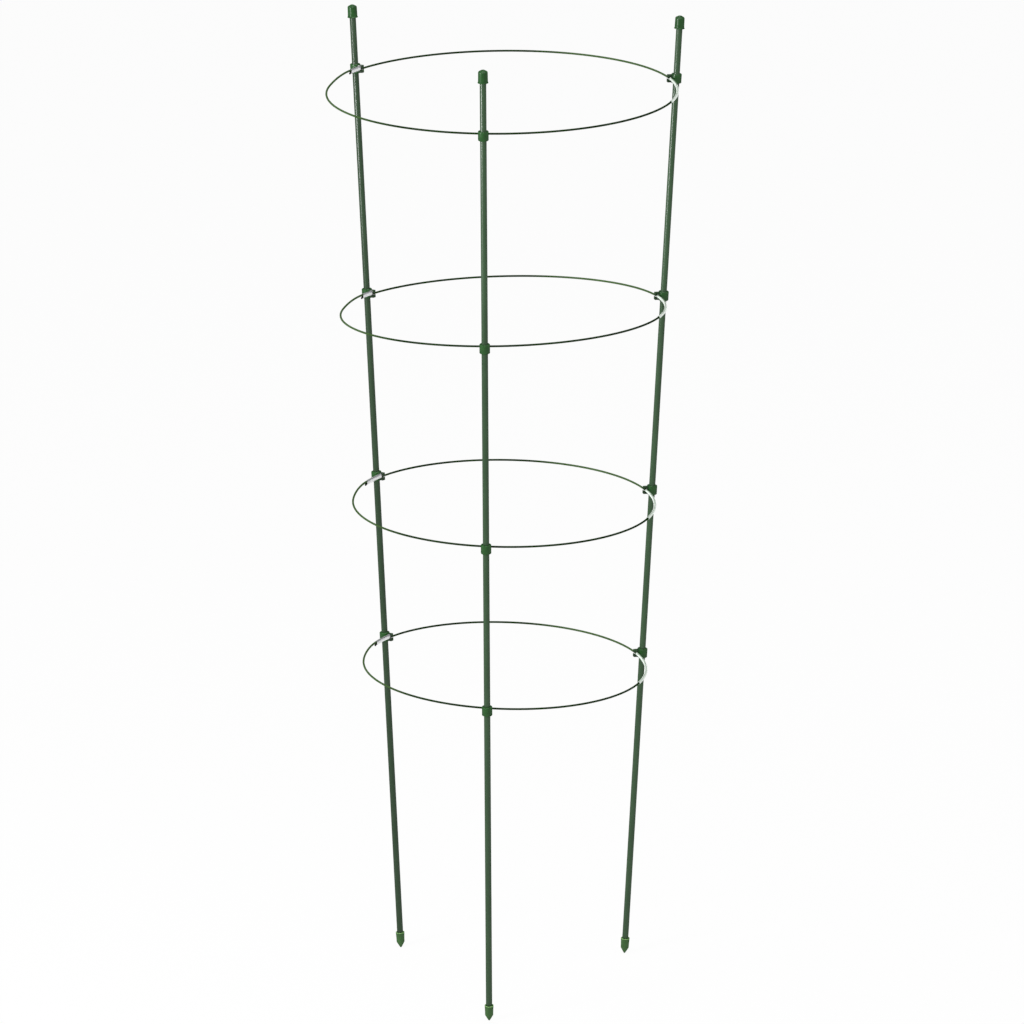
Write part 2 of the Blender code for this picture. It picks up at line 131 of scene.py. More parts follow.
class Paint:
    """A material's nodes, from the place on the piece to the Principled shader."""

    def __init__(self, name: str, on_object: bool = False, world: bool = False) -> None:
        """Start a material, or a world, with only its shader and its output.

        Args:
            name: Its name.
            on_object: Whether it lies on Object coordinates.
            world: Whether it is a world.
        """
        self.material = (bpy.data.worlds if world else bpy.data.materials).new(name)
        self.material.use_nodes = True
        self.on_object = on_object
        self.tree = self.material.node_tree
        self.shader = self.tree.nodes.get("Principled BSDF")

    def node(
        self, kind: str, values: dict | None = None, output: int | str = 0, **settings: object
    ) -> Value:
        """Add a node.

        Args:
            kind: Its type.
            values: What feeds its inputs, by name or number.
            output: The output that is wanted, by name or number.
            settings: Its own settings, which are set first.

        Returns:
            The output.
        """
        made = self.tree.nodes.new(kind)
        for name, setting in settings.items():
            setattr(made, name, setting)
        for name, value in (values or {}).items():
            self.feed(made.inputs[name], value)
        return Value(self, made.outputs[output])

    def feed(self, socket: NodeSocket, value: object) -> None:
        """Link an output to an input, or set the input's own value.

        Args:
            socket: The input.
            value: An output, a number, or three numbers for a vector or colour.
        """
        source = value.source if isinstance(value, Value) else value
        if isinstance(source, NodeSocket):
            self.tree.links.new(source, socket)
        elif socket.type == "RGBA":
            socket.default_value = (*source, 1.0)
        else:
            socket.default_value = source

    def place(self) -> Value:
        """Find the place on the piece.

        Returns:
            The place, in Object coordinates or in the piece's own frame.
        """
        if self.on_object:
            return self.node("ShaderNodeTexCoord", output="Object")
        return self.node("ShaderNodeAttribute", output="Vector", attribute_name=OWN_PLACE)

    def axis(self, name: str) -> Value:
        """One axis, X, Y or Z, of the place on the piece."""
        return self.node("ShaderNodeSeparateXYZ", {0: self.place()}, name)

    def noise(self, scale: Triple | float, detail: float = 2.0, rough: float = 0.55) -> Value:
        """Cloudy noise between 0 and 1.

        Args:
            scale: How many clouds to the metre, in all or along each axis.
            detail: How many finer layers it has.
            rough: How strong they are.

        Returns:
            The noise.
        """
        scales = scale if isinstance(scale, tuple) else (scale,) * 3
        spot = self.node("ShaderNodeMapping", {"Vector": self.place(), "Scale": scales})
        values = {"Vector": spot, "Scale": 1.0, "Detail": detail, "Roughness": rough}
        return self.node("ShaderNodeTexNoise", values)

    def mix(self, share: Value, first: object, second: object) -> Value:
        """Mix two colours, with this share of the second."""
        return self.node("ShaderNodeMix", {0: share, 6: first, 7: second}, 2, data_type="RGBA")

    def relief(self, *layers: tuple[Value, float, float]) -> Value:
        """Turn heights into a normal.

        Args:
            layers: The height from 0 to 1, depth in metres and strength of each.

        Returns:
            The normal.
        """
        normal = {}
        for height, depth, strength in layers:
            values = {"Strength": strength, "Distance": depth, "Height": height, **normal}
            normal = {"Normal": self.node("ShaderNodeBump", values)}
        return normal["Normal"]

    def worn_edges(self) -> Value:
        """A mask of the piece's outer edges, which handling rubs."""
        return self.node("ShaderNodeNewGeometry", output="Pointiness").eased(0.515, 0.60)

    def duller_seen_along(self, roughness: Value, dullest: float = 0.95) -> Value:
        """Roughness that rises where the surface is seen along itself."""
        share = self.node("ShaderNodeLayerWeight", output="Facing").eased(0.22, 0.62)
        return (roughness * (1.0 - share) + share * dullest).clamped()

    def finish(self, **sockets: object) -> Material:
        """Set the Principled shader's sockets.

        Args:
            sockets: Values by socket name, with low lines for spaces.

        Returns:
            The material.
        """
        for name, value in sockets.items():
            self.feed(self.shader.inputs[name.replace("_", " ")], value)
        return self.material


@dataclass(frozen=True)
class CoatFinish:
    """The stakes' plastic coat: grey green, satin, with fine lines drawn along it."""

    name: str
    # strength: how light this stake's copy of the coat is painted, as painted light and shade
    strength: float
    light: Triple = (0.037, 0.085, 0.036)
    dark: Triple = (0.024, 0.060, 0.024)
    rubbed: Triple = (0.090, 0.155, 0.088)
    roughness: float = 0.22
    gloss: float = 0.30
    line_depth: float = 0.00003
    pit_depth: float = 0.00002

    def make(self) -> Material:
        """Make the material.

        Returns:
            The material.
        """
        paint = Paint(self.name)
        lines = paint.noise((1400.0, 1400.0, 6.0), detail=4.0)
        clouds = paint.noise((60.0, 60.0, 9.0), detail=3.0)
        pits = paint.noise((2600.0, 2600.0, 1900.0))
        scuffs = paint.noise((900.0, 900.0, 60.0), detail=5.0, rough=0.7).eased(0.64, 0.76)
        bloom = paint.noise((35.0, 35.0, 20.0), detail=4.0).eased(0.48, 0.75)
        dark, light = (tuple(part * self.strength for part in colour) for colour in (self.dark, self.light))
        base = paint.mix(clouds.eased(0.3, 0.7) * 0.7 + lines * 0.3, dark, light)
        dull = self.roughness + clouds * 0.08 + scuffs * 0.14 + lines * 0.04
        return paint.finish(
            Base_Color=paint.mix((scuffs * 0.35 + bloom * 0.12).clamped(), base, self.rubbed),
            Roughness=paint.duller_seen_along(dull),
            Normal=paint.relief((lines, self.line_depth, 0.35), (pits, self.pit_depth, 0.35)),
            Specular_IOR_Level=self.gloss,
        )


@dataclass(frozen=True)
class MouldedFinish:
    """The caps', tips' and clips' moulded plastic: deeper green, half gloss, paler at rubbed edges.

    It has a painted highlight, in the rubbed colour, just under Z rim, and painted shade past -X lug.
    """

    name: str = "moulded_plastic"
    light: Triple = (0.011, 0.073, 0.010)
    dark: Triple = (0.005, 0.046, 0.005)
    # rubbed: the colour of worn edges and specks, and of the painted highlight at the rim where there is one
    rubbed: Triple = (0.140, 0.300, 0.110)
    # painted shade: the near-black colour that the lug is mixed toward, past -X lug
    lug_painted_shade: Triple = (0.001, 0.010, 0.001)
    rim: float = NOWHERE
    rim_highlight_blend: Pair = (-0.0009, -0.0004)
    lug: float = NOWHERE
    lug_shade_blend: Pair = (0.0, 0.0008)
    roughness: float = 0.20
    gloss: float = 0.28
    peel_depth: float = 0.00003
    grain_depth: float = 0.000015

    def make(self) -> Material:
        """Make the material.

        Returns:
            The material.
        """
        paint = Paint(self.name)
        peel = paint.noise((420.0, 420.0, 360.0))
        grain = paint.noise(2800.0)
        flow = paint.noise((170.0, 170.0, 60.0), detail=4.0, rough=0.6)
        cells = paint.node("ShaderNodeTexVoronoi", {"Vector": paint.place(), "Scale": 700.0})
        specks = 1.0 - cells.eased(0.06, 0.16)
        edges = paint.worn_edges() * paint.noise(500.0, detail=3.0).eased(0.35, 0.65)
        # painted shade: past -X lug the clip loses its flow and is mixed toward the lug's painted shade
        lug = 1.0 - (paint.axis("X") + self.lug).eased(*self.lug_shade_blend)
        base = paint.mix(flow.eased(0.3, 0.7) * (1.0 - lug), self.dark, self.light)
        base = paint.mix(lug * 0.75, base, self.lug_painted_shade)
        # painted highlight: a pale band, mixed toward the rubbed colour, just under the rim height
        rim = (paint.axis("Z") - self.rim).eased(*self.rim_highlight_blend)
        dull = self.roughness + flow * 0.10 + grain * 0.05 + edges * 0.15
        return paint.finish(
            # the rubbed colour here stands for worn edges and specks, and for the painted rim highlight
            Base_Color=paint.mix((edges * 0.6 + specks * 0.12 + rim).clamped(), base, self.rubbed),
            Roughness=paint.duller_seen_along(dull),
            Normal=paint.relief((peel, self.peel_depth, 0.45), (grain, self.grain_depth, 0.30)),
            Specular_IOR_Level=self.gloss,
        )


@dataclass(frozen=True)
class WireFinish:
    """The rings' wire: steel under a thin dark coat, painted lighter on two sides as painted light, its cut
    end near black.

    A side of painted light is its angle, in degrees, and the shares of the radius where it starts and is
    full.
    """

    light: Triple = (0.010, 0.034, 0.005)
    dark: Triple = (0.004, 0.015, 0.002)
    # painted light: the lighter colour that the wire is mixed toward on the two sides of the ring where
    # light falls on it
    painted_light: Triple = (0.062, 0.118, 0.040)
    painted_light_sides: tuple[Triple, ...] = ((-106.0, 0.70, 0.96), (38.0, 0.64, 0.94))
    cut_end: Triple = (0.004, 0.006, 0.004)
    roughness: float = 0.26
    gloss: float = 0.05
    wave_depth: float = 0.00012
    grain_depth: float = 0.00002
    end_from: Pair = (-0.0012, 0.0)
    end_to: Pair = (0.0030, 0.0036)
    upper_strand: Pair = (0.00115, 0.00135)
    clip_side: Pair = (0.0, 0.01)

    def make(self, number: int, radius: float, mouth: float) -> Material:
        """Make the material.

        Args:
            number: The ring's number.
            radius: The ring's radius.
            mouth: Where on Y the end sleeve's mouth is, with the cut end.

        Returns:
            The material.
        """
        paint = Paint(f"ring_wire_{number}")
        waves = paint.noise(190.0)
        clouds = paint.noise(28.0, detail=4.0)
        grain = paint.noise(2400.0)
        out = paint.axis("X")
        along = paint.axis("Y")
        past = along - mouth
        cut = past.eased(*self.end_from) * (1.0 - past.eased(*self.end_to)) * out.eased(*self.clip_side)
        cut = cut * (1.0 - paint.axis("Z").eased(*self.upper_strand))
        base = paint.mix(clouds.eased(0.3, 0.7) * 0.75 + waves * 0.25, self.dark, self.light)
        # painted light: a mask that rises toward the two lit sides of the ring
        painted_light = clouds * 0.0
        for turn, least, full in self.painted_light_sides:
            way = Vector((math.cos(math.radians(turn)), math.sin(math.radians(turn)))) / radius
            painted_light = painted_light + (out * way.x + along * way.y).eased(least, full)
        base = paint.mix(painted_light * (0.7 + clouds * 0.3), base, self.painted_light)
        dull = self.roughness + clouds * 0.12 + grain * 0.06 + cut * 0.2
        return paint.finish(
            Base_Color=paint.mix(cut, base, self.cut_end),
            Roughness=paint.duller_seen_along(dull),
            Normal=paint.relief((waves, self.wave_depth, 0.5), (grain, self.grain_depth, 0.3)),
            Specular_IOR_Level=self.gloss,
        )


@dataclass(frozen=True)
class SleeveFinish:
    """The clear sleeves' soft plastic: milky but at its edges, and shaded higher up."""

    name: str = "clear_end_sleeve"
    light: Triple = (0.97, 0.975, 0.985)
    dark: Triple = (0.93, 0.935, 0.95)
    shade: Triple = (0.62, 0.61, 0.66)
    shade_height: Pair = (0.0016, 0.0026)
    middle: float = 0.0012
    clear_edge: Pair = (0.0016, 0.0021)
    alpha: float = 0.95
    roughness: float = 0.14
    gloss: float = 0.8
    coat: float = 0.6
    wave_depth: float = 0.00012

    def make(self) -> Material:
        """Make the material.

        Returns:
            The material.
        """
        paint = Paint(self.name)
        waves = paint.noise(260.0)
        milk = paint.noise(260.0, detail=4.0)
        scuffs = paint.noise(1500.0, detail=4.0, rough=0.7).eased(0.58, 0.74)
        height = paint.axis("Z")
        edge = (height - self.middle).size().eased(*self.clear_edge)
        clear = paint.mix(milk.eased(0.3, 0.7), self.dark, self.light)
        opaque = (self.alpha + milk * 0.08 + scuffs * 0.04) * (1.0 - edge * 0.75)
        return paint.finish(
            Base_Color=paint.mix(height.eased(*self.shade_height), clear, self.shade),
            Roughness=(self.roughness + scuffs * 0.2 + milk * 0.06).clamped(),
            Alpha=opaque.clamped(),
            Normal=paint.relief((waves, self.wave_depth, 0.5)),
            Specular_IOR_Level=self.gloss,
            Coat_Weight=self.coat,
        )


@dataclass(frozen=True)
class SteelFinish:
    """The bare steel of the tubes inside the stakes, with fine drawn lines."""

    light: Triple = (0.60, 0.61, 0.62)
    dark: Triple = (0.40, 0.41, 0.42)
    rust: Triple = (0.20, 0.09, 0.04)
    roughness: float = 0.32
    line_depth: float = 0.00003

    def make(self) -> Material:
        """Make the material.

        Returns:
            The material.
        """
        paint = Paint("steel_tube", on_object=True)
        lines = paint.noise((2200.0, 2200.0, 12.0), detail=4.0, rough=0.5)
        bloom = paint.noise((300.0, 300.0, 90.0), detail=4.0, rough=0.5).eased(0.62, 0.74)
        return paint.finish(
            Base_Color=paint.mix(bloom * 0.6, paint.mix(lines, self.dark, self.light), self.rust),
            Metallic=1.0 - bloom * 0.6,
            Roughness=(self.roughness + lines * 0.12 + bloom * 0.3).clamped(),
            Normal=paint.relief((lines, self.line_depth, 0.4)),
        )


class Bench:
    """The bench: pieces start from primitives and are shaped in edit mode."""

    @staticmethod
    def only(piece: Piece) -> None:
        """Select one piece and make it the active one.

        Args:
            piece: The piece.
        """
        bpy.ops.object.select_all(action="DESELECT")
        piece.select_set(True)
        bpy.context.view_layer.objects.active = piece

    @staticmethod
    def start(name: str, primitive: str, **settings: object) -> Piece:
        """Add a primitive, with its size and place in its mesh.

        Args:
            name: The piece's name.
            primitive: The primitive's name.
            settings: Its settings.

        Returns:
            The new piece.
        """
        getattr(bpy.ops.mesh, f"primitive_{primitive}_add")(**settings)
        piece = bpy.context.object
        piece.name = name
        piece.data.name = name
        bpy.ops.object.transform_apply()
        return piece

    @staticmethod
    @contextmanager
    def shaping(piece: Piece) -> Iterator[None]:
        """Open a piece in edit mode, with all of it selected, and close it again.

        Args:
            piece: The piece.

        Yields:
            Nothing, with the piece open.
        """
        Bench.only(piece)
        bpy.ops.object.mode_set(mode="EDIT")
        bpy.ops.mesh.select_mode(type="EDGE")
        bpy.ops.mesh.select_all(action="SELECT")
        yield
        bpy.ops.object.mode_set(mode="OBJECT")

    @staticmethod
    def pick(piece: Piece, element: Element, test: Callable[[MeshPart], bool]) -> None:
        """Select the elements that pass a test, and nothing else.

        Args:
            piece: The piece, open in edit mode.
            element: The kind of element.
            test: What it has to pass.
        """
        bpy.ops.mesh.select_mode(type=element.value)
        bpy.ops.mesh.select_all(action="DESELECT")
        form = bmesh.from_edit_mesh(piece.data)
        for part in getattr(form, f"{element.value.lower()}s"):
            if test(part):
                part.select_set(True)
        form.select_flush_mode()
        bmesh.update_edit_mesh(piece.data)

    @staticmethod
    def bridge_openings(piece: Piece) -> None:
        """Bridge the open piece's two open edges."""
        Bench.pick(piece, Element.EDGE, lambda edge: edge.is_boundary)
        bpy.ops.mesh.bridge_edge_loops()

    @staticmethod
    def face_out() -> None:
        """Turn all faces of the open piece outwards."""
        bpy.ops.mesh.select_all(action="SELECT")
        bpy.ops.mesh.normals_make_consistent()

    @staticmethod
    def close(piece: Piece) -> None:
        """Fill what is open in a piece and turn its faces outwards.

        Args:
            piece: The piece.
        """
        with Bench.shaping(piece):
            bpy.ops.mesh.fill_holes(sides=0)
            Bench.face_out()

    @staticmethod
    def modify(piece: Piece, kind: str, **settings: object) -> None:
        """Add a modifier to a piece and apply it.

        Args:
            piece: The piece.
            kind: The modifier's type.
            settings: Its settings.
        """
        modifier = piece.modifiers.new(kind, kind)
        for name, setting in settings.items():
            setattr(modifier, name, setting)
        Bench.only(piece)
        bpy.ops.object.modifier_apply(modifier=modifier.name)

    @staticmethod
    def combine(piece: Piece, other: Piece, operation: str) -> None:
        """Join another piece to this one, or cut it out, and remove the other."""
        Bench.modify(piece, "BOOLEAN", operation=operation, solver="EXACT", object=other)
        bpy.data.objects.remove(other, do_unlink=True)

    @staticmethod
    def soften(piece: Piece, width: float, angle: float = 60.0) -> None:
        """Round off, this wide, a piece's edges sharper than an angle in degrees."""
        Bench.modify(piece, "BEVEL", width=width, segments=2, angle_limit=math.radians(angle))

    @staticmethod
    def deliver(piece: Piece, matrix: Matrix, finish: Material, slot: str, body: str, node: str) -> None:
        """Smooth a piece, keep its own place, move it to its place and dress it.

        Args:
            piece: The piece, modelled in its own frame.
            matrix: Where that frame lies.
            finish: Its material.
            slot: The material slot of the record; not used.
            body: The body that it rides on.
            node: The part's node that it stands for.
        """
        Bench.only(piece)
        bpy.ops.object.shade_smooth_by_angle(angle=math.radians(SMOOTH_ANGLE))
        points = piece.data.attributes.new(OWN_PLACE, "FLOAT_VECTOR", "POINT")
        places = [0.0] * (3 * len(piece.data.vertices))
        piece.data.vertices.foreach_get("co", places)
        points.data.foreach_set("vector", places)
        piece.matrix_world = matrix
        bpy.ops.object.transform_apply()
        piece.data.materials.clear()
        piece.data.materials.append(finish)
        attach(piece, body)
        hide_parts(node)
        LOG.info("%s on %s: %d faces, %s", piece.name, body, len(piece.data.polygons), finish.name)


def arc(centre: Pair, radii: Pair, start: float, stop: float, steps: int) -> list[Pair]:
    """Points on an upright ellipse's arc.

    Args:
        centre: The ellipse's centre.
        radii: Its half width and half height.
        start: The first angle, in degrees.
        stop: The last angle, in degrees.
        steps: How many steps lie between them.

    Returns:
        The points, as (radius, height).
    """
    turns = [math.radians(start + (stop - start) * step / steps) for step in range(steps + 1)]
    return [(centre[0] + radii[0] * math.cos(turn), centre[1] + radii[1] * math.sin(turn)) for turn in turns]


def turned(name: str, profile: list[Pair], sides: int, ring: bool = False) -> Piece:
    """Turn a profile: a circle is extruded and scaled from point to point.

    Args:
        name: The piece's name.
        profile: The points, as (radius, height), none on the axis.
        sides: How many faces go round.
        ring: Whether it closes on itself; otherwise its ends are filled.

    Returns:
        The piece.
    """
    radius, height = profile[0]
    spot = (0.0, 0.0, height)
    piece = Bench.start(name, "circle", vertices=sides, radius=radius, location=spot, fill_type="NOTHING")
    with Bench.shaping(piece):
        for before, after in pairwise(profile):
            step = (0.0, 0.0, after[1] - before[1])
            bpy.ops.mesh.extrude_edges_move(TRANSFORM_OT_translate={"value": step})
            if after[0] != before[0]:
                growth = after[0] / before[0]
                bpy.ops.transform.resize(value=(growth, growth, 1.0), center_override=(0.0, 0.0, after[1]))
        if ring:
            Bench.bridge_openings(piece)
    Bench.close(piece)
    return piece


@dataclass(frozen=True)
class Fits:
    """Sizes that more than one piece is made to."""

    stake_length: float = 1.2
    stake_radius: float = 0.0038
    socket_radius: float = 0.0041
    clip_wall: float = 0.0021
    wire_radius: float = 0.0012
    wire_clearance: float = 0.0005
    wire_play: float = 0.0006
    side_play: float = 0.0006
    jaw_lip: float = 0.0007
    lug_width: float = 0.0046
    gap: float = 0.0003

    @property
    def clip_radius(self) -> float:
        """The outer radius of a clip's collar."""
        return self.socket_radius + self.clip_wall

    @property
    def jaw_radius(self) -> float:
        """The radius of the hole that holds the wire."""
        return self.wire_radius + self.wire_clearance

    @property
    def wire_offset(self) -> float:
        """The distance from a stake's axis to the wire."""
        return self.clip_radius + self.wire_play + self.jaw_radius

    @property
    def lug_reach(self) -> float:
        """The distance from a stake's axis to its lugs' free ends."""
        return self.wire_offset + self.wire_play + self.jaw_radius + self.jaw_lip

    @property
    def strand_pitch(self) -> float:
        """The distance between the wire's two strands in the end sleeve."""
        return 2.0 * self.wire_radius + self.gap

    @property
    def sleeve_start(self) -> float:
        """The distance along the wire from a clip's middle to a sleeve."""
        return self.lug_width / 2.0 + self.gap


FITS = Fits()


@dataclass(frozen=True)
class StakeLine:
    """Where a stake stands: its point, the way that it runs up, and the support's axis."""

    side: Side
    foot: Vector
    along: Vector
    axis: Vector

    @classmethod
    def read_all(cls) -> dict[Side, "StakeLine"]:
        """Read the stakes' lines from the mounts at their feet.

        Returns:
            The lines by side.
        """
        mounts = {mount["name"]: mount for mount in frame["record"]["mounts"]}
        feet = {side: mounts[f"foot_{side.value}"] for side in Side}
        spots = {side: Vector(foot["pos_m"]) for side, foot in feet.items()}
        ways = {side: -Vector(foot["axis"]).normalized() for side, foot in feet.items()}
        axis = RingCircle.through(spots).matrix.translation
        return {side: cls(side, spots[side], ways[side], axis) for side in Side}

    def frame_at(self, distance: float) -> Matrix:
        """Find a frame on the stake.

        Args:
            distance: How far up the stake it lies.

        Returns:
            The frame, with Z along the stake and X away from the axis.
        """
        spot = self.foot + self.along * distance
        outward = Vector((spot.x - self.axis.x, spot.y - self.axis.y, 0.0))
        off_axis = (outward - self.along * outward.dot(self.along)).normalized()
        matrix = Matrix((off_axis, self.along.cross(off_axis), self.along)).transposed().to_4x4()
        matrix.translation = spot
        return matrix

    def clip_frame(self, level: float) -> Matrix:
        """Find the frame of a clip.

        Args:
            level: The level that it holds its wire at.

        Returns:
            The frame, at the middle of the clip's collar.
        """
        reach = level * FITS.stake_length
        matrix = self.frame_at(reach)
        distance = (reach + FITS.wire_offset * matrix.col[0].z) / self.along.z
        matrix.translation = self.foot + self.along * distance
        return matrix


@dataclass(frozen=True)
class RingCircle:
    """The circle of a ring's wire: its frame, with X to the left clip, and the right one's angle."""

    matrix: Matrix
    radius: float
    right_angle: float

    @classmethod
    def through(cls, spots: dict[Side, Vector]) -> "RingCircle":
        """Lay a circle through one spot beside each stake.

        Args:
            spots: The spots by side.

        Returns:
            The circle.
        """
        left = spots[Side.LEFT]
        to_front = spots[Side.FRONT] - left
        to_right = spots[Side.RIGHT] - left
        across = to_front.cross(to_right)
        middle = across.cross(to_front) * to_right.length_squared
        middle += to_right.cross(across) * to_front.length_squared
        centre = left + middle / (2.0 * across.length_squared)
        out = (left - centre).normalized()
        normal = across.normalized()
        matrix = Matrix((out, normal.cross(out), normal)).transposed().to_4x4()
        matrix.translation = centre
        seen = matrix.inverted() @ spots[Side.RIGHT]
        return cls(matrix, (left - centre).length, math.atan2(seen.y, seen.x))

    def angle_of(self, length: float) -> float:
        """The angle that a length of the wire takes up."""
        return length / self.radius


@dataclass
class Stake:
    """One stake: a coated tube with a domed cap and a pointed tip."""

    line: StakeLine
    coat: Material
    moulded: Material
    tip: Material
    coat_wall: float = 0.0003
    cap_height: float = 0.0157
    cap_wall: float = 0.0017
    cap_roof: float = 0.0022
    cap_lip: float = 0.0005
    cap_lip_height: float = 0.0008
    cap_draft: float = 0.0002
    cap_shoulder: float = 0.0020
    cap_crown: Pair = (0.0033, 0.0014)
    tip_point: float = 0.0009
    tip_cone: float = 0.0074
    tip_floor: float = 0.0018
    tip_socket: float = 0.0108
    tip_wall: float = 0.0009
    tip_flare: float = 0.0005
    tip_flare_depth: float = 0.0100
    tip_flare_bend: Pair = (0.25, 0.62)
    rounding: float = 0.00025
    pole: float = 0.1
    sides: int = 48

    def rounded(self, radius: float, height: float, start: float, stop: float, steps: int = 4) -> list[Pair]:
        """A stretch of rounding about a centre, from one angle in degrees to another."""
        return arc((radius, height), (self.rounding, self.rounding), start, stop, steps)

    def model_coat(self) -> Piece:
        """Model the coat: a cylinder, bored through and rounded at its ends.

        Returns:
            The coat.
        """
        bottom = self.tip_cone + self.tip_floor + FITS.gap
        top = FITS.stake_length - self.cap_roof - FITS.gap
        size = {"vertices": self.sides, "radius": FITS.stake_radius, "depth": top - bottom}
        spot = (0.0, 0.0, (bottom + top) / 2.0)
        piece = Bench.start(f"coat_of_{self.line.side.value}_stake", "cylinder", location=spot, **size)
        with Bench.shaping(piece):
            Bench.pick(piece, Element.FACE, lambda face: abs(face.normal.z) > 0.5)
            bpy.ops.mesh.inset(thickness=self.coat_wall)
            bpy.ops.mesh.delete(type="FACE")
            Bench.bridge_openings(piece)
            Bench.face_out()
        Bench.soften(piece, self.coat_wall / 4.0)
        return piece

    def model_cap(self) -> Piece:
        """Model the cap: a cup with a domed crown and a thin lip round its mouth.

        Returns:
            The cap.
        """
        bore = FITS.socket_radius
        body = bore + self.cap_wall
        soft = self.rounding
        roof = self.cap_height - self.cap_roof
        lip = body + self.cap_lip
        lip_top = self.cap_lip_height + self.cap_lip
        crown_base = self.cap_height - self.cap_crown[1]
        shoulder = (body - self.cap_draft - self.cap_shoulder, crown_base - self.cap_shoulder)
        profile = [(bore * self.pole, roof), (bore - soft, roof)]
        profile += self.rounded(bore - soft, roof - soft, 60.0, 0.0, steps=2)
        profile += [(bore, soft), (bore + soft * 0.5, 0.0)]
        profile += self.rounded(lip - soft, soft, -90.0, 0.0)
        profile += self.rounded(lip - soft, self.cap_lip_height - soft, 0.0, 60.0)
        profile += [(body + soft, lip_top - soft * 1.2), (body + soft * 0.3, lip_top - soft * 0.4)]
        profile += [(body, lip_top)]
        profile += arc(shoulder, (self.cap_shoulder, self.cap_shoulder), 0.0, 78.0, 10)
        profile += arc((0.0, crown_base), self.cap_crown, 8.0, 84.0, 9)
        return turned(f"cap_of_{self.line.side.value}_stake", profile, self.sides)

    def model_tip(self) -> Piece:
        """Model the tip: a cone under a socket whose rim flares and stands clear of the stake.

        Returns:
            The tip.
        """
        bore = FITS.socket_radius
        body = bore + self.tip_wall
        flare = bore + self.tip_flare
        outer = flare + self.tip_wall
        soft = self.rounding
        point = self.tip_point
        floor = self.tip_cone + self.tip_floor
        rim = floor + self.tip_socket
        base = rim - self.tip_flare_depth
        bend, depth = self.tip_flare_bend
        bend_height = rim - self.tip_flare_depth * depth
        profile = [(point * 0.3, 0.0), (point - soft, 0.0), (point, soft)]
        profile += [(point + (body - point) * share, self.tip_cone * share) for share in (0.3, 0.6, 0.93)]
        profile += [(body - soft * 0.4, self.tip_cone * 0.99), (body, self.tip_cone * 1.06), (body, base)]
        profile += [(body + (outer - body) * bend, bend_height), (outer - soft * 0.4, rim - soft * 2.0)]
        profile += self.rounded(outer - soft, rim - soft, 10.0, 90.0)
        profile += self.rounded(flare + soft, rim - soft, 90.0, 190.0)
        profile += [(bore + self.tip_flare * bend, bend_height), (bore, base)]
        profile += [(bore, floor + soft), (bore - soft, floor), (bore * self.pole, floor)]
        return turned(f"tip_of_{self.line.side.value}_stake", profile, self.sides)

    def build(self) -> None:
        """Model the stake's pieces, put them in place and dress them."""
        side = self.line.side.value
        cap_base = FITS.stake_length - self.cap_height
        work = (
            (self.model_coat(), 0.0, self.coat, "stake_coat", f"stake_coat_{side}"),
            (self.model_cap(), cap_base, self.moulded, "moulded_plastic", f"stake_cap_{side}"),
            (self.model_tip(), 0.0, self.tip, "moulded_plastic", f"stake_tip_{side}"),
        )
        for piece, distance, finish, slot, node in work:
            Bench.deliver(piece, self.line.frame_at(distance), finish, slot, "stakes", node)


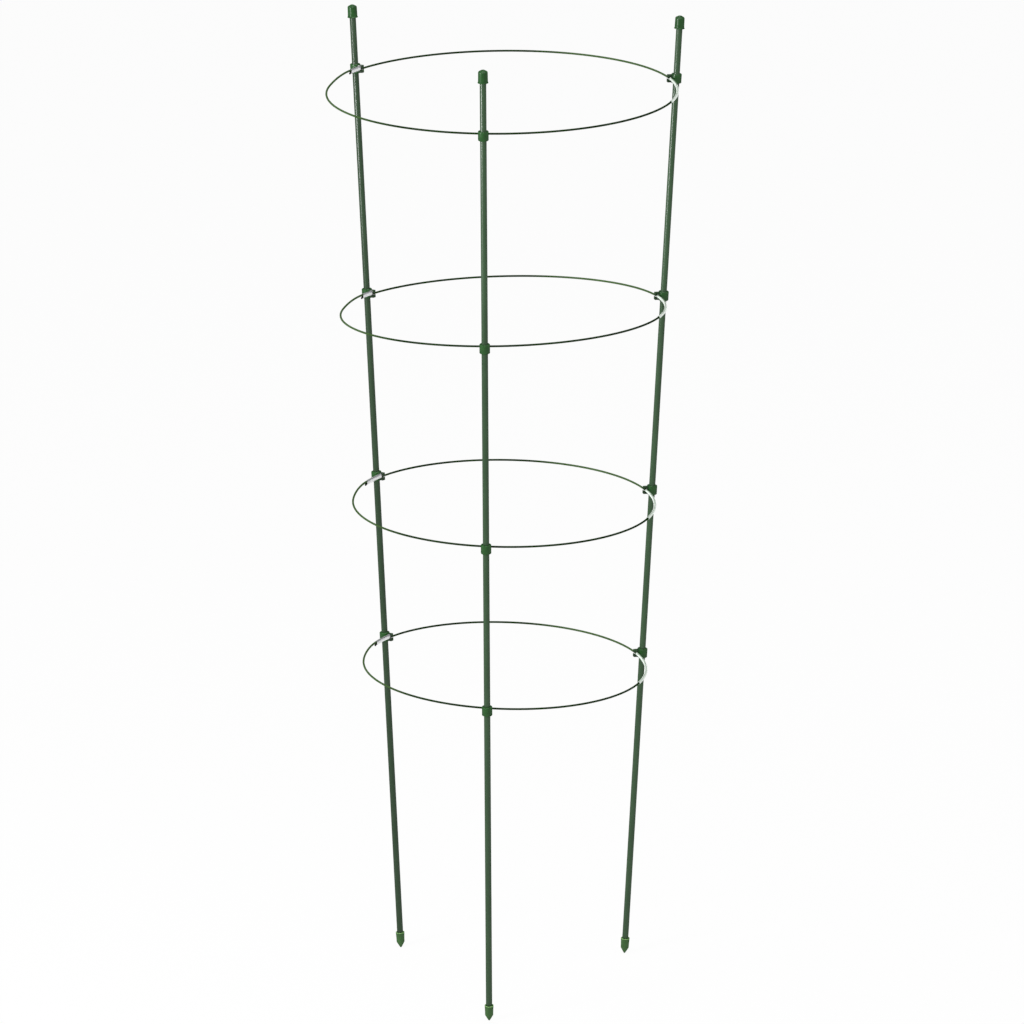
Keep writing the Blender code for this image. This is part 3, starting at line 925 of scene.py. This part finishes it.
@dataclass
class Clip:
    """The clips that join rings to stakes: a collar with a lug whose slit jaw holds the wire."""

    moulded: Material
    height: float = 0.0112
    chamfer: float = 0.0005
    lug_height: float = 0.0092
    lug_edge: float = 0.0003
    lug_root: float = 0.3
    slit: float = 0.0012
    mouth_chamfer: float = 0.0003
    edge_rounding: float = 0.00014
    rounded_angle: float = 32.0
    jaw_sides: int = 32
    sides: int = 48
    pattern: Piece | None = None

    def model_collar(self) -> Piece:
        """Model the collar, chamfered at both ends.

        Returns:
            The collar.
        """
        half = self.height / 2.0
        bore = FITS.socket_radius
        outer = FITS.clip_radius
        profile = [(bore, -half), (outer - self.chamfer, -half), (outer, self.chamfer - half)]
        profile += [(outer, half - self.chamfer), (outer - self.chamfer, half), (bore, half)]
        return turned("clip_pattern", profile, self.sides, ring=True)

    @staticmethod
    def block(name: str, inner: float, outer: float, width: float, height: float) -> Piece:
        """Add a block across the wire, from one place on X to another further out."""
        scale = (inner - outer, width, height)
        return Bench.start(name, "cube", size=1.0, location=((inner + outer) / 2.0, 0.0, 0.0), scale=scale)

    def model_lug(self) -> Piece:
        """Model the lug: a block with its free edges cut off.

        Returns:
            The lug.
        """
        root = -(FITS.socket_radius + FITS.clip_wall * self.lug_root)
        lug = self.block("clip_lug", root, -FITS.lug_reach, FITS.lug_width, self.lug_height)
        free = self.lug_edge - FITS.lug_reach
        with Bench.shaping(lug):
            Bench.pick(lug, Element.EDGE, lambda edge: all(corner.co.x < free for corner in edge.verts))
            bpy.ops.mesh.bevel(offset=self.lug_edge, segments=2, affect="EDGES")
        return lug

    def model_jaw(self) -> Piece:
        """Model what the jaw leaves open: an oblong hole across the lug.

        Returns:
            The hole.
        """
        middle = -FITS.wire_offset
        size = {"vertices": self.jaw_sides, "radius": FITS.jaw_radius, "depth": 2.0 * FITS.lug_width}
        spot = {"location": (middle, 0.0, 0.0), "rotation": (math.radians(90.0), 0.0, 0.0)}
        jaw = Bench.start("clip_jaw", "cylinder", **size, **spot)
        small = FITS.jaw_radius / 100.0
        with Bench.shaping(jaw):
            for way in (1.0, -1.0):
                Bench.pick(jaw, Element.VERTEX, lambda corner: (corner.co.x - middle) * way > small)
                bpy.ops.transform.translate(value=(way * FITS.wire_play, 0.0, 0.0))
        return jaw

    def model_slit(self) -> Piece:
        """Model what the slit leaves open, with a wider mouth for the wire.

        Returns:
            The slit.
        """
        outer = -(FITS.lug_reach + self.lug_edge)
        slit = self.block("clip_slit", -FITS.wire_offset, outer, 2.0 * FITS.lug_width, self.slit)
        mouth = FITS.lug_reach - self.mouth_chamfer + outer
        widening = 1.0 + 2.0 * (self.mouth_chamfer + self.lug_edge) / self.slit
        with Bench.shaping(slit):
            Bench.pick(slit, Element.FACE, lambda face: face.normal.x < -0.5)
            bpy.ops.transform.translate(value=(-mouth, 0.0, 0.0))
            bpy.ops.mesh.extrude_region_move(TRANSFORM_OT_translate={"value": (mouth, 0.0, 0.0)})
            bpy.ops.transform.resize(value=(1.0, 1.0, widening), center_override=(outer, 0.0, 0.0))
        return slit

    def model(self) -> None:
        """Model the one clip that all are copied from."""
        self.pattern = self.model_collar()
        Bench.combine(self.pattern, self.model_lug(), "UNION")
        Bench.combine(self.pattern, self.model_jaw(), "DIFFERENCE")
        Bench.combine(self.pattern, self.model_slit(), "DIFFERENCE")
        Bench.soften(self.pattern, self.edge_rounding, self.rounded_angle)

    def place(self, side: str, number: int, matrix: Matrix) -> None:
        """Copy the clip, with a mesh of its own, to a stake.

        Args:
            side: The stake's side.
            number: The ring that the clip holds.
            matrix: The frame that it sits in.
        """
        Bench.only(self.pattern)
        bpy.ops.object.duplicate()
        piece = bpy.context.object
        piece.name = f"clip_on_{side}_stake_{number}"
        piece.data.name = piece.name
        body = f"clip_body_{side}_{number}"
        Bench.deliver(piece, matrix, self.moulded, "moulded_plastic", body, f"clip_{side}_{number}")

    def put_away(self) -> None:
        """Remove the pattern that the clips were copied from."""
        bpy.data.objects.remove(self.pattern, do_unlink=True)


@dataclass
class Ring:
    """One ring: a wire with its two ends in a clear sleeve, and a second sleeve on its right."""

    number: int
    circle: RingCircle
    end_sleeve_length: float
    wire: WireFinish
    end_sleeve: Material
    side_sleeve: Material
    rise_length: float = 0.065
    rise_lead: float = 0.004
    end_showing: float = 0.0022
    end_drop: float = 0.0009
    end_recess: float = 0.0012
    end_rounding: float = 0.3
    side_sleeve_length: float = 0.120
    sleeve_wall: float = 0.0002
    sleeve_clearance: float = 0.00025
    wire_sides: int = 16
    sleeve_sides: int = 28
    run_steps: int = 200
    rise_steps: int = 24
    drop_steps: int = 5
    sleeve_step: float = 0.0025

    @property
    def mouth(self) -> float:
        """The angle of the end sleeve's mouth."""
        return self.circle.angle_of(FITS.sleeve_start + self.end_sleeve_length)

    def section(self, name: str, radius: float, sides: int, angle: float, fill: str) -> Piece:
        """Start a sweep: a circle across the wire, at an angle of the ring.

        Args:
            name: The piece's name, without its ring.
            radius: The circle's radius.
            sides: How many corners it has.
            angle: Where on the ring it stands.
            fill: NGON for one face in it, or NOTHING.

        Returns:
            The circle.
        """
        name = f"{name}_of_ring_{self.number}"
        spot = (self.circle.radius * math.cos(angle), self.circle.radius * math.sin(angle), 0.0)
        settings = {"location": spot, "rotation": (math.radians(90.0), 0.0, angle)}
        return Bench.start(name, "circle", vertices=sides, radius=radius, fill_type=fill, **settings)

    @staticmethod
    def sweep(angle: float, steps: int) -> None:
        """Carry the section along the ring, clockwise seen from above."""
        bpy.ops.mesh.spin(steps=steps, angle=angle, center=(0.0, 0.0, 0.0), axis=(0.0, 0.0, 1.0))

    def climb(self, angle: float, steps: int, height: float) -> None:
        """Carry the section along while it rises, slowly at first and last.

        Args:
            angle: How far round it goes.
            steps: How many steps it takes.
            height: How far it rises.
        """
        shares = [step / steps for step in range(steps + 1)]
        for before, after in pairwise(share * share * (3.0 - 2.0 * share) for share in shares):
            self.sweep(angle / steps, 1)
            bpy.ops.transform.translate(value=(0.0, 0.0, height * (after - before)))

    def model_wire(self) -> Piece:
        """Model the wire: from its lower end once round and over itself.

        Returns:
            The wire.
        """
        circle = self.circle
        start = self.mouth + circle.angle_of(self.end_showing)
        stop = circle.angle_of(FITS.sleeve_start + self.end_recess) - math.tau
        rise_end = self.mouth + circle.angle_of(self.rise_lead) - math.tau
        rise_start = rise_end + circle.angle_of(self.rise_length)
        piece = self.section("wire", FITS.wire_radius, self.wire_sides, start, "NOTHING")
        with Bench.shaping(piece):
            bpy.ops.transform.translate(value=(0.0, 0.0, -self.end_drop))
            self.climb(start - self.mouth, self.drop_steps, self.end_drop)
            self.sweep(self.mouth - rise_start, self.run_steps)
            self.climb(rise_start - rise_end, self.rise_steps, FITS.strand_pitch)
            self.sweep(rise_end - stop, self.rise_steps)
        Bench.close(piece)
        Bench.soften(piece, FITS.wire_radius * self.end_rounding)
        return piece

    def model_sleeve(self, name: str, start: float, length: float, spread: float = 0.0) -> Piece:
        """Model a sleeve: a bored section, swept along the wire.

        Args:
            name: Its name, without its ring.
            start: The angle where it starts.
            length: Its length; it runs anticlockwise where this is negative.
            spread: How far apart the two strands in it are, 0 for one.

        Returns:
            The sleeve.
        """
        bore = FITS.wire_radius + self.sleeve_clearance
        piece = self.section(name, bore + self.sleeve_wall, self.sleeve_sides, start, "NGON")
        with Bench.shaping(piece):
            if spread:
                Bench.pick(piece, Element.VERTEX, lambda corner: corner.co.z > bore / 100.0)
                bpy.ops.transform.translate(value=(0.0, 0.0, spread))
            Bench.pick(piece, Element.FACE, lambda face: True)
            bpy.ops.mesh.inset(thickness=self.sleeve_wall)
            bpy.ops.mesh.delete(type="FACE")
            bpy.ops.mesh.select_all(action="SELECT")
            self.sweep(self.circle.angle_of(length), max(8, round(abs(length) / self.sleeve_step)))
            Bench.face_out()
        Bench.soften(piece, self.sleeve_wall / 4.0)
        return piece

    def build(self) -> None:
        """Model the ring's pieces, put them in place and dress them."""
        number = self.number
        radius = self.circle.radius
        left = self.circle.angle_of(FITS.sleeve_start)
        right = self.circle.right_angle - self.circle.angle_of(FITS.sleeve_start + FITS.side_play)
        end_sleeve = self.model_sleeve("end_sleeve", left, -self.end_sleeve_length, FITS.strand_pitch)
        side_sleeve = self.model_sleeve("side_sleeve", right, self.side_sleeve_length)
        wire = self.wire.make(number, radius, radius * math.sin(self.mouth))
        work = (
            (self.model_wire(), wire, "ring_wire", f"ring_{number}"),
            (end_sleeve, self.end_sleeve, "clear_sleeve", f"end_sleeve_{number}"),
            (side_sleeve, self.side_sleeve, "clear_sleeve", f"ring_sleeve_{number}"),
        )
        for piece, finish, slot, node in work:
            Bench.deliver(piece, self.circle.matrix, finish, slot, f"ring_body_{number}", node)


@dataclass
class Support:
    """The whole support. A level is a ring's height at a stake, as a share of the stake's length."""

    level_sides: tuple[Side, ...] = (Side.LEFT, Side.FRONT, Side.RIGHT)
    levels: tuple[Triple, ...] = (
        (0.9340, 0.9331, 0.9349),
        (0.7018, 0.7170, 0.7099),
        (0.5099, 0.5089, 0.5052),
        (0.3386, 0.3373, 0.3302),
    )
    end_sleeve_lengths: tuple[float, ...] = (0.020, 0.020, 0.036, 0.033)
    # painted shade: coat brightness per stake (front, right, left), the left stake painted darkest
    coat_strengths: tuple[float, ...] = (0.92, 1.0, 0.66)
    # how far past the collar the lugs' painted shade starts
    lug_shade: float = 0.0004
    tip: MouldedFinish = MouldedFinish(
        "tip_plastic",
        light=(0.042, 0.118, 0.030),
        dark=(0.028, 0.088, 0.020),
        # rubbed is also the colour of the painted highlight along the tip's rim, at the height rim
        rubbed=(0.22, 0.44, 0.14),
        rim=Stake.tip_cone + Stake.tip_floor + Stake.tip_socket,
    )
    side_sleeve: SleeveFinish = SleeveFinish(
        "clear_side_sleeve",
        light=(0.90, 0.97, 0.90),
        dark=(0.74, 0.88, 0.76),
        shade=(0.66, 0.78, 0.66),
        shade_height=(0.0006, 0.0013),
        middle=0.0,
        clear_edge=(0.0012, 0.0017),
    )

    def build(self) -> None:
        """Build and dress every piece."""
        lines = StakeLine.read_all()
        moulded = MouldedFinish().make()
        tip = self.tip.make()
        for side, strength in zip(Side, self.coat_strengths):
            coat = CoatFinish(f"{side.value}_coat", strength).make()
            Stake(lines[side], coat, moulded, tip).build()
        lug = FITS.clip_radius + self.lug_shade
        clip = Clip(MouldedFinish("clip_plastic", lug=lug).make())
        clip.model()
        sleeves = (SleeveFinish().make(), self.side_sleeve.make())
        for number, (levels, length) in enumerate(zip(self.levels, self.end_sleeve_lengths), start=1):
            spots = {}
            for side, level in zip(self.level_sides, levels):
                matrix = lines[side].clip_frame(level)
                clip.place(side.value, number, matrix)
                spots[side] = matrix @ Vector((-FITS.wire_offset, 0.0, 0.0))
            Ring(number, RingCircle.through(spots), length, WireFinish(), *sleeves).build()
        clip.put_away()
        self.dress_cores()

    @staticmethod
    def dress_cores() -> None:
        """Give the steel tubes inside the stakes their finish."""
        steel = SteelFinish().make()
        for side in Side:
            core = frame["nodes"][f"stake_core_{side.value}"]
            core.data.materials.clear()
            core.data.materials.append(steel)
            LOG.info("%s kept, in %s", core.name, steel.name)


@dataclass(frozen=True)
class Lamp:
    """A soft lamp that looks at a point of the support."""

    name: str
    place: Triple
    size: Pair
    power: float
    target: Triple = (0.0, 0.0, 0.6)

    def hang(self) -> None:
        """Hang the lamp."""
        bpy.ops.object.light_add(type="AREA", location=self.place)
        lamp = bpy.context.object
        lamp.name = self.name
        lamp.data.shape = "RECTANGLE"
        lamp.data.size, lamp.data.size_y = self.size
        lamp.data.energy = self.power
        way = Vector(self.target) - Vector(self.place)
        lamp.rotation_euler = way.to_track_quat("-Z", "Y").to_euler()
        lamp.visible_camera = False


@dataclass(frozen=True)
class Studio:
    """The floor, the soft lamps, the world, and the camera at the photograph's viewing angle."""

    floor_size: float = 60.0
    floor_shade: float = 0.85
    floor_grain: float = 0.02
    floor_roughness: float = 0.9
    floor_glow: float = 0.955
    world_light: float = 0.30
    camera_place: Triple = (0.7427, -7.4508, 2.8984)
    camera_yaw: float = -5.623
    camera_pitch: float = -17.064
    camera_roll: float = -0.309
    camera_lens: float = 227.308
    camera_reach: float = 200.0
    lamps: tuple[Lamp, ...] = (
        Lamp("key_lamp", (-1.62, -1.50, 1.20), (0.6, 0.3), 36.0, (0.0, 0.0, 1.1)),
        Lamp("front_lamp", (0.5, -4.6, 3.4), (1.6, 1.2), 68.0),
        Lamp("top_lamp", (0.2, -0.4, 4.6), (2.4, 2.4), 80.0),
    )

    def lay_floor(self) -> None:
        """Lay the floor, white to the camera but able to hold a shadow."""
        floor = Bench.start("studio_floor", "plane", size=self.floor_size)
        paint = Paint("studio_floor", on_object=True)
        shade = paint.noise(3.0, detail=3.0, rough=0.5) * self.floor_grain + self.floor_shade
        paint.finish(Base_Color=shade, Roughness=self.floor_roughness)
        share = self.seen(paint) * self.floor_glow
        values = {0: share, 1: paint.shader.outputs[0], 2: paint.node("ShaderNodeEmission")}
        surface = paint.tree.nodes["Material Output"].inputs["Surface"]
        paint.feed(surface, paint.node("ShaderNodeMixShader", values))
        floor.data.materials.append(paint.material)

    @staticmethod
    def seen(paint: Paint) -> Value:
        """Tell apart the rays that see and those of the light.

        Args:
            paint: The material or world that asks.

        Returns:
            1 for a ray that sees straight on, in gloss or through plastic, and 0 for light.
        """
        names = (f"Is {kind} Ray" for kind in ("Camera", "Glossy", "Transmission"))
        camera, gloss, clear = (paint.node("ShaderNodeLightPath", output=name) for name in names)
        return (camera + gloss + clear).clamped()

    def light_world(self) -> None:
        """Light the world evenly, and show it white to the camera."""
        world = Paint("studio_world", world=True)
        background = world.tree.nodes["Background"].inputs
        world.feed(background["Color"], (1.0, 1.0, 1.0))
        world.feed(background["Strength"], self.seen(world) * (1.0 - self.world_light) + self.world_light)
        bpy.context.scene.world = world.material

    def set_camera(self) -> None:
        """Set the camera up at the photograph's viewing angle."""
        bpy.ops.object.camera_add(location=self.camera_place)
        camera = bpy.context.object
        camera.name = "photo_camera"
        camera.data.lens = self.camera_lens
        camera.data.sensor_fit = "HORIZONTAL"
        camera.data.clip_end = self.camera_reach
        turn = Matrix.Rotation(math.radians(-self.camera_yaw), 4, "Z")
        turn @= Matrix.Rotation(math.radians(90.0 + self.camera_pitch), 4, "X")
        turn @= Matrix.Rotation(math.radians(self.camera_roll), 4, "Z")
        camera.rotation_euler = turn.to_euler()
        bpy.context.scene.camera = camera

    def build(self) -> None:
        """Set up the whole studio."""
        self.lay_floor()
        for lamp in self.lamps:
            lamp.hang()
        self.light_world()
        self.set_camera()
        bpy.context.scene.view_settings.view_transform = "Standard"


def main() -> None:
    """Build the support and its studio."""
    logging.basicConfig(level=logging.INFO, format="%(message)s")
    Support().build()
    Studio().build()


if __name__ == "__main__":
    main()
